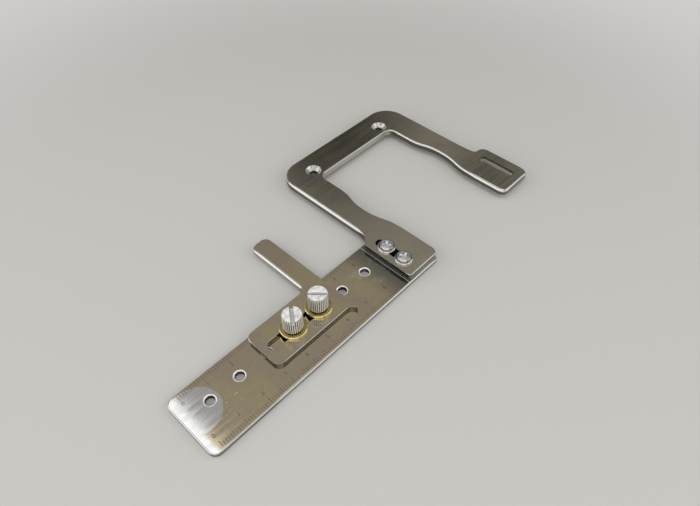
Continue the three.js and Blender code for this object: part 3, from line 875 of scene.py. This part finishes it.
def etched_dye():
    """The dye in the scales: soot black, turned rusty here and there."""
    recipe = bare_metal("etched_dye")
    rust = recipe.noise(recipe.mapped(), 110)
    worn = recipe.noise(recipe.mapped(), 900)
    colour = recipe.mix(recipe.remap(rust, 0.45, 0.62), SOOT_TONE, RUST_TONE)
    colour = recipe.mix(recipe.remap(worn, 0.45, 0.75, 0, 0.6), colour, FADED_TONE)
    recipe.give("Base Color", colour)
    recipe.give("Roughness", recipe.remap(worn, 0.3, 0.7, 0.45, 0.7))
    recipe.give("Metallic", DYE_METAL)
    return recipe.owner


# Places taken from the frame
ruler_low, ruler_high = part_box("ruler_plate")
stop_low, stop_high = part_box("stop_plate")
bracket_low, bracket_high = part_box("bracket")
HOLE_ROW_Y = ruler_high.y - HOLE_ROW_INSET
HOLES = [(ruler_low.x + FIRST_HOLE_X + i * HOLE_PITCH, HOLE_ROW_Y) for i in range(HOLE_COUNT)]


def axis_of(node):
    """Where a round piece's upright axis stands."""
    low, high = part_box(node)
    return (low.x + high.x) / 2, (low.y + high.y) / 2


# Pieces
def ruler_outline():
    """A rectangle with round corners, whose near edge is worn rounder beyond its first stretch."""
    x0, y0, x1, y1 = ruler_low.x, ruler_low.y, ruler_high.x, ruler_high.y
    r, edge = RULER_CORNER, RULER_EDGE
    worn = x0 + RULER_WORN_FROM
    return joined(
        line((x0 + r, y0), (worn, y0), edge),
        line((worn, y0), (x1 - r, y0), RULER_WORN_EDGE),
        arc(x1 - r, y0 + r, r, -90, 0, edge),
        line((x1, y0 + r), (x1, y1 - r), edge),
        arc(x1 - r, y1 - r, r, 0, 90, edge),
        line((x1 - r, y1), (x0 + r, y1), edge),
        arc(x0 + r, y1 - r, r, 90, 180, edge),
        line((x0, y1 - r), (x0, y0 + r), edge),
        arc(x0 + r, y0 + r, r, 180, 270, edge),
    )


def scale_ticks():
    """Shallow blocks for the ticks of both scales, one for each millimetre."""
    floor, above = ruler_high.z - ENGRAVED_DEPTH, ruler_high.z + CLEAR
    near, far = ruler_low.y + TICK_INSETS["near"], ruler_high.y - TICK_INSETS["far"]
    half, blocks = TICK_WIDTH / 2, []
    for i in range(SCALE_LENGTH_MM + 1):
        reach = TICK_LENGTHS[next(step for step in TICK_LENGTHS if i % step == 0)]
        x = ruler_low.x + SCALE_START + i * MM
        for y in (near, far - reach):
            blocks.append(box_skin(x - half, x + half, y, y + reach, floor, above))
    return mesh_of("scale_ticks", blocks)


def numeral_mesh(text):
    """A numeral as a thin closed slab about the origin."""
    font = bpy.data.curves.new("numeral", "FONT")
    font.body = text
    font.size = NUMERAL_SIZE
    font.align_x = font.align_y = "CENTER"
    font.extrude = CLEAR / 2
    writing = placed("numeral", font)
    bpy.context.view_layer.update()
    mesh = bpy.data.meshes.new_from_object(writing)
    bpy.data.objects.remove(writing)
    return mesh


def scale_numerals():
    """Slabs for the centimetre numerals of both scales, standing in the ruler's face."""
    points, faces, first = [], [], 0
    lift = ruler_high.z - ENGRAVED_DEPTH + CLEAR / 2
    near, far = ruler_low.y + NUMERAL_INSETS["near"], ruler_high.y - NUMERAL_INSETS["far"]
    for centimetre in range(SCALE_LENGTH_MM // 10 + 1):
        glyph = numeral_mesh(str(centimetre))
        spots = values_of(glyph.vertices, "co", np.float32, 3)
        x = ruler_low.x + SCALE_START + 10 * centimetre * MM
        for y in (near, far):
            points.append(spots + np.array((x, y, lift)))
            faces += [[first + v for v in face.vertices] for face in glyph.polygons]
            first += len(spots)
    return new_mesh("scale_numerals", np.concatenate(points), faces)


def make_ruler(steel, rim, thread, dye):
    """The graduated plate, with its tapped holes and both scales cut in."""
    low, high = ruler_low.z, ruler_high.z
    plate = plate_skin(ruler_outline(), low, high, RULER_UNDER_SHARE)
    piece = shown("ruler", mesh_of("ruler", [plate]), steel)
    screws = [axis_of(f"bracket_screw_{side}") for side in ("right", "left")]
    bore = HOLE_CREST_R, HOLE_GROOVE_R, HOLE_RIM_R
    holes = [tapped_hole_skin(x, y, low, high, *bore) for x, y in HOLES]
    holes += [sunk_hole_skin(x, y, low, high, SCREW_HOLE_R, SCREW_HOLE_RIM_R) for x, y in screws]
    foot = HOLE_CREST_R - MOUTH_OVERLAP
    mouths = [mouth_skin(x, y, high, foot, HOLE_RING_R, HOLE_RING_SLOPE) for x, y in HOLES]
    cut(piece, mesh_of("mouths", mouths), rim)
    cut(piece, mesh_of("holes", holes), thread)
    cut(piece, scale_ticks(), dye)
    cut(piece, scale_numerals(), dye)
    stands_for(crisp(piece), "ruler_plate", "ruler")


def stop_outline():
    """The stop: a body short of the ruler's far edge, an arm that crosses it, and a pointer."""
    x0, right = stop_low.x, stop_high.x
    tip, reach = stop_low.y, stop_high.y
    far, low = ruler_high.y - STOP_SET_BACK, tip + STOP_POINTER_DROP
    arm = right - STOP_ARM_WIDTH
    run = right - STOP_POINTER_RUN
    c, f, r = STOP_CORNER, STOP_FILLET, STOP_ARM_CORNER
    nose = (right - STOP_POINTER_TIP, tip)
    return joined(
        line((x0 + c, low), (run, low), KEEN),
        bend([(run, low), (right - STOP_POINTER_RUN / 4, low), nose], SHARP),
        line(nose, (right, tip + STOP_POINTER_TIP), SHARP),
        line((right, tip + STOP_POINTER_TIP), (right, reach - r), KEEN),
        arc(right - r, reach - r, r, 0, 90, KEEN),
        arc(arm + r, reach - r, r, 90, 180, SOFT),
        line((arm, reach - r), (arm, far + f), STROKED),
        arc(arm - f, far + f, f, 0, -90, KEEN),
        line((arm - f, far), (x0 + c, far), KEEN),
        arc(x0 + c, far - c, c, 90, 180, KEEN),
        line((x0, far - c), (x0, low + c), SHARP),
        arc(x0 + c, low + c, c, 180, 270, SHARP),
    )


def make_stop(steel):
    """The stop plate, slotted where the thumb screws pass through it."""
    low, high = stop_low.z, stop_high.z
    plate = plate_skin(stop_outline(), low, high, STOP_UNDER_SHARE)
    piece = shown("stop", mesh_of("stop", [plate]), steel)
    middle = stop_low.x + STOP_START_MARGIN + STOP_SLOT_LENGTH / 2
    slot = slot_skin(middle, HOLE_ROW_Y, STOP_SLOT_LENGTH, STOP_SLOT_WIDTH, low, high, False)
    cut(piece, mesh_of("slot", [slot]))
    stands_for(crisp(piece), "stop_plate", "stop")


def bracket_outline():
    """The bracket, from its far pad's end round the outside, then back round the throat."""
    middle = bracket_high.x - PAD_FLARE - BRACKET_SPAN / 2
    y0, y1 = bracket_low.y, bracket_high.y
    left, right = middle - BRACKET_SPAN / 2, middle + BRACKET_SPAN / 2
    arm_left, arm_right = left + ARM_WIDTH, right - ARM_WIDTH
    pad_left, pad_right = arm_left + PAD_INNER_STEP, arm_right - PAD_INNER_STEP
    waist_left, waist_right = arm_left - WAIST_DEPTH, arm_right + WAIST_DEPTH
    far, near = right + PAD_FLARE, left - PAD_FLARE + PAD_TRIM
    top = y0 + PAD_LENGTH
    flare_top, waist = top + PAD_FLARE_HEIGHT, top + WAIST_ABOVE_PAD
    arm_top, pad_top = waist + WAIST_RUN, top - PAD_SHOULDER - PAD_CORNER
    web = y1 - WEB_WIDTH
    c, r, f, s = PAD_CORNER, BRACKET_CORNER, WEB_FILLET, PAD_SHOULDER
    t, n = PAD_TRIM_CORNER, PAD_TRIM_SHOULDER
    return joined(
        line((pad_right + c, y0), (far - c, y0), SOFT),
        arc(far - c, y0 + c, c, -90, 0, SOFT),
        line((far, y0 + c), (far, top - s), EASED),
        bend([(far, top - s), (far, top), (far - s, top)], EASED),
        bend([(far - s, top), (right, top), (right, flare_top)], EASED),
        line((right, flare_top), (right, y1 - r), SOFT),
        arc(right - r, y1 - r, r, 0, 90, SOFT),
        line((right - r, y1), (left + r, y1), SOFT),
        arc(left + r, y1 - r, r, 90, 180, SOFT),
        line((left, y1 - r), (left, flare_top), TUMBLED),
        bend([(left, flare_top), (left, top), (near + n, top - n / 4)], SHARP),
        bend([(near + n, top - n / 4), (near, top - n / 2), (near, top - 1.5 * n)], SHARP),
        line((near, top - 1.5 * n), (near, y0 + t), SHARP),
        arc(near + t, y0 + t, t, 180, 270, KEEN),
        line((near + t, y0), (pad_left - c, y0), EASED),
        arc(pad_left - c, y0 + c, c, -90, 0, EASED),
        line((pad_left, y0 + c), (pad_left, pad_top), EASED),
        sway((pad_left, pad_top), (waist_left, waist), EASED),
        sway((waist_left, waist), (arm_left, arm_top), EASED),
        line((arm_left, arm_top), (arm_left, web - f), EASED),
        arc(arm_left + f, web - f, f, 180, 90, EASED),
        line((arm_left + f, web), (arm_right - f, web), EASED),
        arc(arm_right - f, web - f, f, 90, 0, EASED),
        line((arm_right, web - f), (arm_right, arm_top), SOFT),
        sway((arm_right, arm_top), (waist_right, waist), SOFT),
        sway((waist_right, waist), (pad_right, pad_top), SOFT),
        line((pad_right, pad_top), (pad_right, y0 + c), TUMBLED),
        arc(pad_right + c, y0 + c, c, 180, 270, TUMBLED),
    )


def make_bracket(steel, sunk, thread, far_slot_light_and_shade):
    """The C-shaped bracket: slotted pads, waisted arms and a web with two countersunk holes."""
    low, high = bracket_low.z, bracket_high.z
    plate = plate_skin(bracket_outline(), low, high, BRACKET_UNDER_SHARE)
    piece = shown("bracket_frame", mesh_of("bracket", [plate]), steel)
    middle = bracket_high.x - PAD_FLARE - BRACKET_SPAN / 2
    slot_y = bracket_low.y + PAD_LENGTH / 2
    for side in (-1, 1):
        slot_x = middle + side * (BRACKET_SPAN / 2 - PAD_SLOT_INSET)
        slot = slot_skin(slot_x, slot_y, PAD_SLOT_LENGTH, PAD_SLOT_WIDTH, low, high, True)
        cut(piece, mesh_of("slot", [slot]), thread if side < 0 else far_slot_light_and_shade)
        hole = middle + WEB_HOLE_SHIFT + side * WEB_HOLE_SPACING / 2, bracket_high.y - WEB_HOLE_EDGE
        mouth = mouth_skin(*hole, high, WEB_HOLE_R - MOUTH_OVERLAP, WEB_SINK_R, SINK_SLOPE)
        cut(piece, mesh_of("mouth", [mouth]), sunk)
        bore = turned_skin(*hole, [low - CLEAR, high + CLEAR], [WEB_HOLE_R, WEB_HOLE_R])
        cut(piece, mesh_of("bore", [bore]), thread)
    stands_for(crisp(piece), "bracket", "bracket")


def make_thumb_screw(place, nickel, slotted):
    """A thumb screw as one turned surface, from the tip of its thread to its knurled head's top.

    The head's radius at angle a is R - depth (1 - |cos (teeth a / 2)|), kept inside its chamfers.
    """
    node = f"thumb_screw_{place}"
    (x, y), (low, high) = axis_of(node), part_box(node)
    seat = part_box(f"washer_{place}")[1].z
    columns = KNURL_TEETH * KNURL_STEPS
    shank_steps = int((seat - low.z) / THREAD_PITCH * STEPS_PER_TURN)
    shank = np.linspace(low.z, seat, shank_steps)
    crest = np.where(shank < ruler_high.z + SHANK_STEP, SHANK_TIP_R, SHANK_R)
    end = SHANK_TIP_R - SHANK_END_CHAMFER + (shank - low.z)
    thread = crest[:, None] - SHANK_GROOVE * thread_wave(shank, columns)
    thread = np.minimum(thread, end[:, None])

    foot = seat + KNOB_FOOT_HEIGHT
    shoulder = np.full((2, columns), KNOB_FOOT_R)
    head = np.linspace(foot, high.z, HEAD_STEPS)
    a = np.linspace(0, 2 * np.pi, columns, endpoint=False)
    knurl = KNOB_R - KNURL_DEPTH * (1 - np.abs(np.cos(KNURL_TEETH * a / 2)))
    lower = KNOB_R - KNOB_LOWER_CHAMFER + (head - foot)
    upper = KNOB_R - np.maximum(0, head - (high.z - KNOB_CHAMFER))
    head_r = np.minimum(knurl[None, :], np.minimum(lower, upper)[:, None])

    heights = np.concatenate((shank, [seat, foot], head))
    skin = turned_skin(x, y, heights, np.concatenate((thread, shoulder, head_r)))
    piece = shown(f"{node}_body", mesh_of(node, [skin]), nickel)
    slot = driver_slot_skin(x, y, DRIVER_SLOT_ANGLES[place], high.z - DRIVER_SLOT_DEPTH, high.z)
    cut(piece, mesh_of("slot", [slot]), slotted)
    stands_for(crisp(piece, KNURL_CREASE_DEGREES), node, node)


def make_washer(place, brass):
    """A washer: a section with round outer corners, turned about its axis and closed on itself."""
    node = f"washer_{place}"
    (x, y), (low, high) = axis_of(node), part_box(node)
    outer, e = (high.x - low.x) / 2, WASHER_EDGE
    foot, top, bore = low.z + SEAT_GAP, high.z, WASHER_BORE_R
    sin, cos = e * np.sin(QUARTER_TURN), e * np.cos(QUARTER_TURN)
    radius = np.concatenate(([bore], outer - e + sin, outer - e + cos, [bore]))
    height = np.concatenate(([foot], foot + e - cos, top - e + sin, [top]))
    mesh = mesh_of(node, [turned_skin(x, y, height, radius)], wrapped=True)
    stands_for(crisp(shown(f"{node}_ring", mesh, brass)), node, node)


def make_bracket_screw(side, zinc, recess_highlight):
    """A pan head screw: an elliptical dome on a plain shank, with a cross recess."""
    node = f"bracket_screw_{side}"
    (x, y), (low, high) = axis_of(node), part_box(node)
    seat, head = bracket_high.z + SEAT_GAP, (high.x - low.x) / 2
    step = ruler_high.z + SHANK_STEP
    a = np.radians(np.linspace(0, DOME_END_DEGREES, 3 * EDGE_STEPS))
    dome = seat + PAD_HEAD_RIM + (high.z - seat - PAD_HEAD_RIM) * np.sin(a)
    height = np.concatenate(([low.z, low.z + PAD_SHANK_CHAMFER, step, step, seat, seat], dome))
    radius = np.concatenate((
        [PAD_SHANK_TIP_R - PAD_SHANK_CHAMFER, PAD_SHANK_TIP_R, PAD_SHANK_TIP_R],
        [PAD_SHANK_R, PAD_SHANK_R, head - PAD_HEAD_TUCK],
        head * np.cos(a),
    ))
    mesh = mesh_of(node, [turned_skin(x, y, height, radius)])
    piece = shown(f"{node}_body", mesh, zinc)
    recess = cross_recess_skin(x, y, RECESS_TURNS[side], high.z - RECESS_DEPTH, high.z)
    cut(piece, mesh_of("recess", [recess]), recess_highlight)
    stands_for(crisp(piece), node, node)


# Stage, light and camera
SKY_LEVELS = [
    (0, 1.0), (9, 0.9), (15, 0.18), (28, 0.18), (36, 0.27), (45, 0.33), (61, 0.40), (74, 0.8),
    (90, 0.8),
]
SKY_TINT = (1.0, 0.97, 0.92)
SKY_DIM_SIDE = 0.65
BEYOND = (1, 1, 0)
BEYOND_RANGE = (0.05, 0.5)
DARK_OPENINGS = [((0.56, 0.558, 0.612), 9.0, 0.18), ((0.69, 0.34, 0.64), 4.5, 0.3)]
FLOOR_TONE = (0.66, 0.65, 0.63, 1)
FLOOR_FADE = (0.14, 0.32)
FLOOR_HALF = 6.0
FLOOR_GAP = 0.02 * MM
FLOOR_ROUGHNESS = 0.9
FLOOR_GLOSS = 0.1
FAR_FLOOR_LEVEL = 0.94

# Each lamp's place, the spot it shines at, its width, its depth and its brightness to the eye
SOFTBOXES = {
    "strip_softbox": ((-0.0571, 0.23, 0.45), (-0.0571, 0.23, 0), 0.0857, 0.5, 1.15),
    "left_softbox": ((-0.55, 0.30, 0.30), (0, 0, 0), 0.9, 0.54, 1.3),
    "right_softbox": ((0.30, -0.50, 0.30), (0, 0, 0), 0.8, 0.52, 1.2),
    "front_softbox": ((-0.45, -0.45, 0.30), (0, 0, 0), 0.76, 0.5, 1.05),
    "high_softbox": ((-0.18, -0.18, 0.78), (0, 0, 0), 0.7, 0.7, 0.75),
}


def make_sky():
    """A plain studio: a pale wall beyond the ruler with dark openings, and a dimmer room behind.

    The levels are pairs of a height in degrees and a brightness. Each opening is a way to look, its
    reach in degrees and how much of the light is left there.
    """
    world = bpy.data.worlds.new("studio")
    bpy.context.scene.world = world
    sky = Recipe(world, "Background")
    way = sky.spaces["Generated"]
    ramp = sky.add("ValToRGB", {0: sky.add("SeparateXYZ", {0: way}).outputs["Z"]})
    ramp.color_ramp.interpolation = "EASE"
    stops = ramp.color_ramp.elements
    while len(stops) < len(SKY_LEVELS):
        stops.new(0.5)
    for stop, (degrees, level) in zip(stops, SKY_LEVELS):
        stop.position = np.sin(np.radians(degrees))
        stop.color = (*[level * tint for tint in SKY_TINT], 1)

    def towards(direction, *limits):
        """A brightness that changes as the way comes nearer to a direction."""
        pair = {0: way, 1: direction}
        along = sky.add("VectorMath", pair, operation="DOT_PRODUCT").outputs["Value"]
        return sky.remap(along, *limits)

    strength = towards(BEYOND, *BEYOND_RANGE, SKY_DIM_SIDE, 1.0)
    for middle, reach, level in DARK_OPENINGS:
        direction = Vector(middle).normalized()
        opening = towards(direction, np.cos(np.radians(reach)), 1.0, 1.0, level)
        strength = sky.times(strength, opening)
    sky.give("Color", ramp.outputs[0])
    sky.give("Strength", strength)


def softbox(name, place, aim, width, depth, level):
    """A soft rectangular lamp that shines evenly, at the given brightness to the eye."""
    lamp = bpy.data.lights.new(name, "AREA")
    lamp.shape = "RECTANGLE"
    lamp.size, lamp.size_y = width, depth
    lamp.energy = np.pi * level * width * depth
    stand = placed(name, lamp)
    stand.location = place
    stand.rotation_mode = "QUATERNION"
    stand.rotation_quaternion = (Vector(aim) - Vector(place)).to_track_quat("-Z", "Y")
    stand.visible_camera = False


def make_floor():
    """A pale matt floor that the ruler's plate lies on."""
    level = ruler_low.z - FLOOR_GAP
    corners = np.array([(-1, -1, 0), (1, -1, 0), (1, 1, 0), (-1, 1, 0)]) * FLOOR_HALF
    mesh = new_mesh("floor", corners + (0, 0, level), [(0, 1, 2, 3)])
    recipe = bare_metal("pale_floor")
    recipe.give("Metallic", 0)
    recipe.give("Base Color", FLOOR_TONE)
    recipe.give("Roughness", FLOOR_ROUGHNESS)
    recipe.give("Specular IOR Level", FLOOR_GLOSS)
    away = recipe.remap(distance_from(recipe, 0, 0), *FLOOR_FADE)
    rays = recipe.add("LightPath").outputs
    seen = rays["Is Camera Ray"]
    for kind in ("Is Glossy Ray", "Is Transmission Ray"):
        seen = recipe.math("MAXIMUM", seen, rays[kind])
    plain = recipe.add("Emission", {"Color": FLOOR_TONE, "Strength": FAR_FLOOR_LEVEL}).outputs[0]
    share, lit = recipe.times(away, seen), recipe.surface.outputs[0]
    blend = recipe.add("MixShader", {0: share, 1: lit, 2: plain})
    recipe.put(recipe.tree.nodes["Material Output"].inputs["Surface"], blend.outputs[0])
    mesh.materials.append(recipe.owner)
    floor = placed("floor", mesh)


def make_camera():
    """The camera at the photograph's place and angle."""
    lens = bpy.data.cameras.new("camera")
    lens.sensor_width = SENSOR_WIDTH_MM
    lens.lens = FOCAL_PIXELS * SENSOR_WIDTH_MM / FRAME_WIDTH_PIXELS
    lens.clip_start = NEAREST_SEEN
    camera = placed("camera", lens)
    camera.location = CAMERA_PLACE
    camera.rotation_mode = "QUATERNION"
    camera.rotation_quaternion = Vector(CAMERA_FORWARD).to_track_quat("-Z", "Y")
    bpy.context.scene.camera = camera


make_camera()
make_sky()
make_floor()
for name, settings in SOFTBOXES.items():
    softbox(name, *settings)
bpy.context.scene.view_settings.view_transform = "Standard"

x0, y0 = ruler_low.x, ruler_low.y
# A painted highlight round the mouths of the ruler's tapped holes
rim = tooled_metal("rim_painted_highlight", *RIM_HIGHLIGHT_TONES)
sunk = tooled_metal("sunk_steel", *SUNK_STEEL)
# Painted shade in the bores and in the near pad's slot
thread = tooled_metal("tapped_steel_shaded", *BORE_SHADE_TONES)
# Painted light on the lower part of the far pad's slot
painted_below = (bracket_low.z + FAR_SLOT_LIT_BELOW, FAR_SLOT_LIT_TONE)
far_slot_light_and_shade = tooled_metal("far_pad_slot_lit_and_shaded", *FAR_SLOT_SHADE_TONES, painted_below)
# In the cross recesses: partly brighter struck metal, partly a painted highlight
recess_highlight = tooled_metal("struck_zinc_highlight", *RECESS_HIGHLIGHT_TONES)
ruler_steel = sheet_steel(
    "ruler_steel", RULER_TONES, 0, RULER_SATIN,
    rings=[(*HOLES[-1], CUTTER_REACH)],
    scuffs=[(x0 + x, y0 + y, *marks) for x, y, *marks in SCUFFS],
    pale_patches=[(x0 + x, y0 + y, *limits) for x, y, *limits in PALE_PATCH_PLACES],
    # Painted shade beside the bracket's pad
    pad_shade=(x0 + BRIGHT_LINE_X, PAD_SHADE_REACH),
    bright_line=x0 + BRIGHT_LINE_X,
)
make_ruler(ruler_steel, rim, thread, etched_dye())
make_stop(sheet_steel("stop_steel", RULER_TONES, 0, STOP_SATIN))
# Painted highlight on walls near the web's inner edge
web_wall_highlight = (bracket_high.y - WEB_WIDTH, WEB_WALL_HIGHLIGHT_REACH)
bracket_steel = sheet_steel("bracket_steel", BRACKET_TONES, 90, BRACKET_SATIN, web_wall_highlight=web_wall_highlight)
make_bracket(bracket_steel, sunk, thread, far_slot_light_and_shade)
slot_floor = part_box("thumb_screw_near")[1].z - DRIVER_SLOT_DEPTH
for place in ("near", "far"):
    spot = (*axis_of(f"washer_{place}"), 0)
    # The slot's walls and floor take painted light and shade
    slotted = tooled_metal(
        f"slotted_nickel_lit_and_shaded_{place}", *SLOT_WALLS[place], SLOT_ROUGHNESS, SLOT_MATTNESS,
        painted_below=(slot_floor + SLOT_FLOOR_REACH, SLOT_FLOORS[place]),
    )
    make_thumb_screw(place, turned_metal(f"nickel_{place}", spot, **NICKEL), slotted)
    make_washer(place, turned_metal(f"brass_{place}", spot, **BRASS))
for side in ("right", "left"):
    spot = (*axis_of(f"bracket_screw_{side}"), 0)
    make_bracket_screw(side, turned_metal(f"zinc_{side}", spot, **ZINC), recess_highlight)
